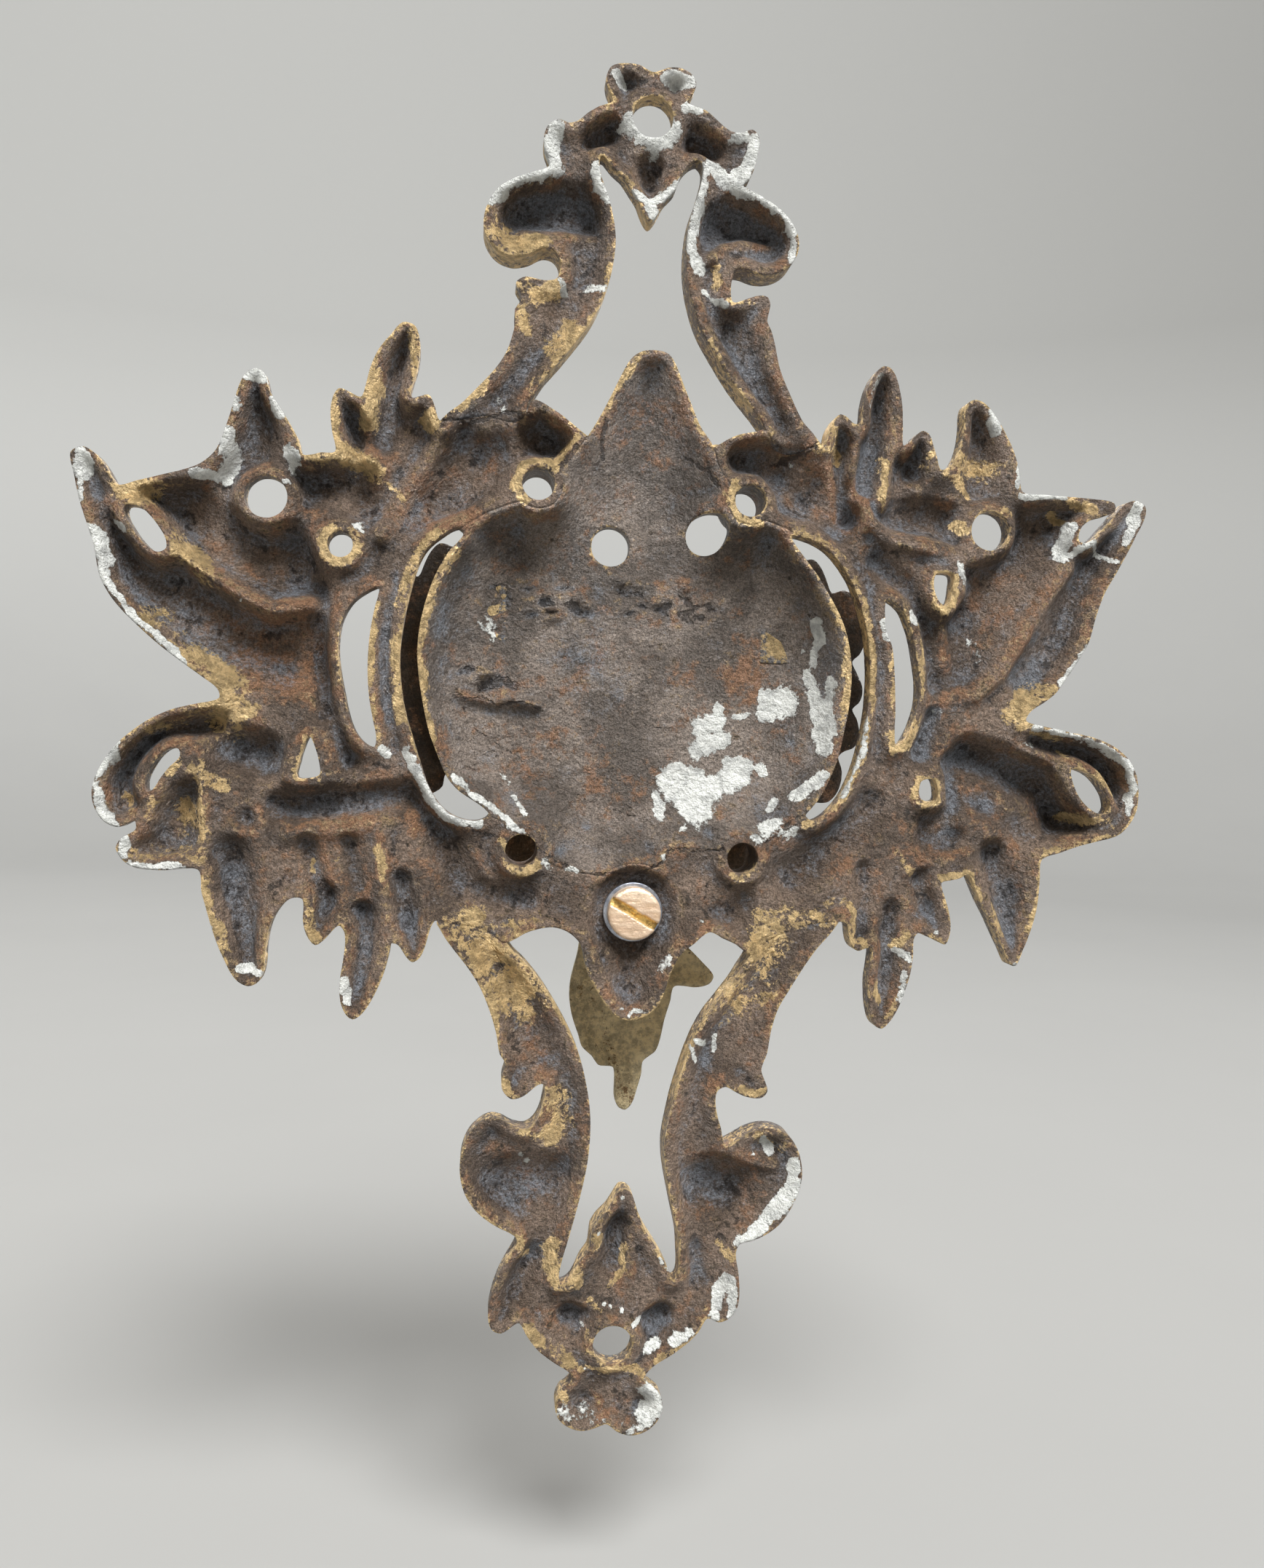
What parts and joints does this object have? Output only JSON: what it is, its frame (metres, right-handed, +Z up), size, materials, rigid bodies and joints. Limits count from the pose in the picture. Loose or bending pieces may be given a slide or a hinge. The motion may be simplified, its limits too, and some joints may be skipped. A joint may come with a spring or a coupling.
{
  "type": "rococo door knocker",
  "caption": "Pierced rococo backplate with a dished cartouche and a hinged heart-shaped knocker that falls on a screwed strike stud.",
  "frame": {"origin": "midpoint between the left and right fixing holes, on the plane of the back edges that lies on the door", "axes": "+Z up the door, +X to the right as seen from the front, front faces -Y, the door is on the +Y side"},
  "size_m": [0.202, 0.0294, 0.2572],
  "materials": {
    "aged_bronze": "brown and black patina, reddish mottling, overspray of gold on the edges",
    "dish_bronze": "brown patina with blue-grey bloom and flakes of white paint",
    "stud_brass": "worn gilt over brass",
    "screw_copper": "pink brass, turned face, gold in the slot",
    "washer_steel": "bright zinc with a dark edge",
    "pin_steel": "dark oiled steel",
    "cap_brass": "worn gilt brass",
    "knocker_bronze": "dark brown patina, gilt on the high edges",
    "leaf_gilt": "gold bronze paint, rubbed and dusty"
  },
  "bodies": {
    "plate": {"backplate": "aged_bronze", "cartouche_dome": "dish_bronze", "crest_upper": "aged_bronze", "crest_lower": "aged_bronze", "strike_stud": "stud_brass", "stud_screw": "screw_copper", "stud_washer": "washer_steel", "hinge_pin": "pin_steel", "pin_cap_left": "cap_brass", "pin_cap_right": "cap_brass"},
    "knocker": {"knocker_ring": "knocker_bronze", "acanthus_leaf": "leaf_gilt", "leaf_rivets": "leaf_gilt", "striker_pad": "stud_brass"}
  },
  "joints": [
    {"name": "knocker_hinge", "type": "hinge", "parent": "plate", "child": "knocker", "pos_m": [-0.00035, -0.021, -0.0128], "axis": [-1, 0, 0], "range_deg": [0, 100]}
  ]
}
